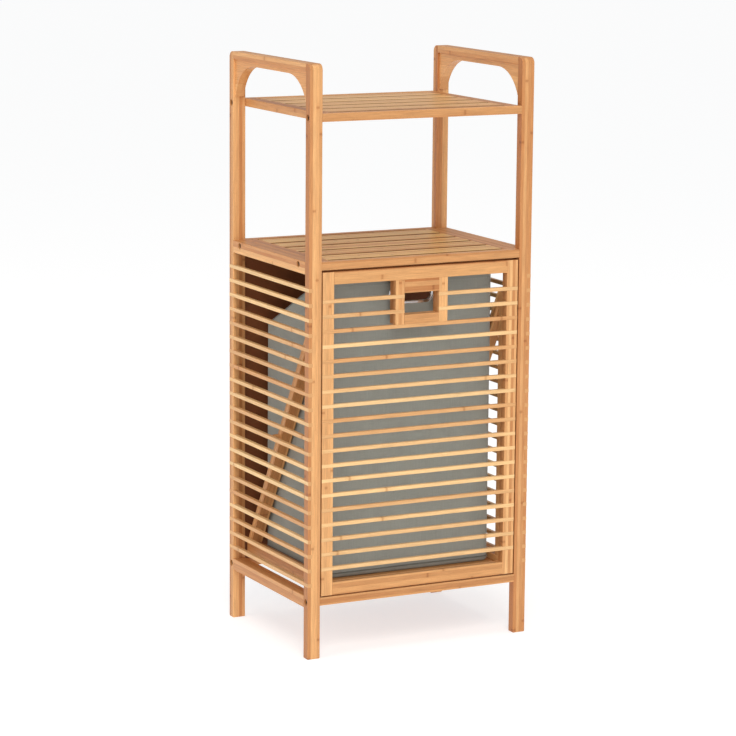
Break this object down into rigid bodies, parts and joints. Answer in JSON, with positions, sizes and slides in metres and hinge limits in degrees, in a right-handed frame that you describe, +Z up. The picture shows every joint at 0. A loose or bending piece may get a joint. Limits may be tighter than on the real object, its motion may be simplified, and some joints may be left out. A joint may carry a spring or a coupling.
{
  "type": "tilt-out laundry cabinet rack",
  "caption": "Free-standing bamboo rack with slatted sides, open shelves above and a slatted door that tilts out a fabric laundry bag on a carriage.",
  "frame": {"origin": "on the floor, in the middle of the rack's footprint", "axes": "+X across the rack towards its right side seen from the front, +Y from the door to the back, +Z up"},
  "size_m": [0.4, 0.3, 0.95],
  "materials": {
    "bamboo": "satin clear lacquer on laminated bamboo strips",
    "bamboo_slat": "satin clear lacquer, paler strips",
    "back_panel": "matt dark brown sheet",
    "bag_fabric": "matt plain weave, stiffened",
    "ring_chrome": "polished",
    "bolt_steel": "dark zinc plate"
  },
  "bodies": {
    "root": {"front_left_post": "bamboo", "rear_left_post": "bamboo", "handle_bar_left": "bamboo", "handle_arch_left": "bamboo", "side_mid_rail_left": "bamboo", "side_bottom_rail_left": "bamboo", "side_slats_left": "bamboo_slat", "front_right_post": "bamboo", "rear_right_post": "bamboo", "handle_bar_right": "bamboo", "handle_arch_right": "bamboo", "side_mid_rail_right": "bamboo", "side_bottom_rail_right": "bamboo", "side_slats_right": "bamboo_slat", "top_shelf_front_rail": "bamboo", "top_shelf_rear_rail": "bamboo", "top_shelf_end_rail_left": "bamboo", "top_shelf_end_rail_right": "bamboo", "top_shelf_slats": "bamboo", "mid_shelf_front_rail": "bamboo", "mid_shelf_rear_rail": "bamboo", "mid_shelf_end_rail_left": "bamboo", "mid_shelf_end_rail_right": "bamboo", "mid_shelf_slats": "bamboo", "bottom_rail_front": "bamboo", "bottom_rail_rear": "bamboo", "back_panel": "back_panel", "door_stop_strip": "bamboo", "frame_bolts_left": "bolt_steel", "pivot_pin_left": "bolt_steel", "frame_bolts_right": "bolt_steel", "pivot_pin_right": "bolt_steel"},
    "carriage": {"door_stile_left": "bamboo", "door_short_slats_left": "bamboo_slat", "grip_stile_left": "bamboo", "carriage_upright_left": "bamboo", "carriage_rail_left": "bamboo", "carriage_brace_left": "bamboo", "stop_dowel_left": "bamboo", "door_stile_right": "bamboo", "door_short_slats_right": "bamboo_slat", "grip_stile_right": "bamboo", "carriage_upright_right": "bamboo", "carriage_rail_right": "bamboo", "carriage_brace_right": "bamboo", "stop_dowel_right": "bamboo", "door_bottom_rail": "bamboo", "door_top_rail": "bamboo", "door_slats": "bamboo_slat", "grip_lower_block": "bamboo", "grip_upper_block": "bamboo", "carriage_floor_slats": "bamboo", "laundry_bag": "bag_fabric", "bag_grip_ring": "ring_chrome"}
  },
  "joints": [
    {"name": "hamper_tilt", "type": "hinge", "parent": "root", "child": "carriage", "pos_m": [0, -0.1425, 0.118], "axis": [1, 0, 0], "range_deg": [0, 32]}
  ]
}
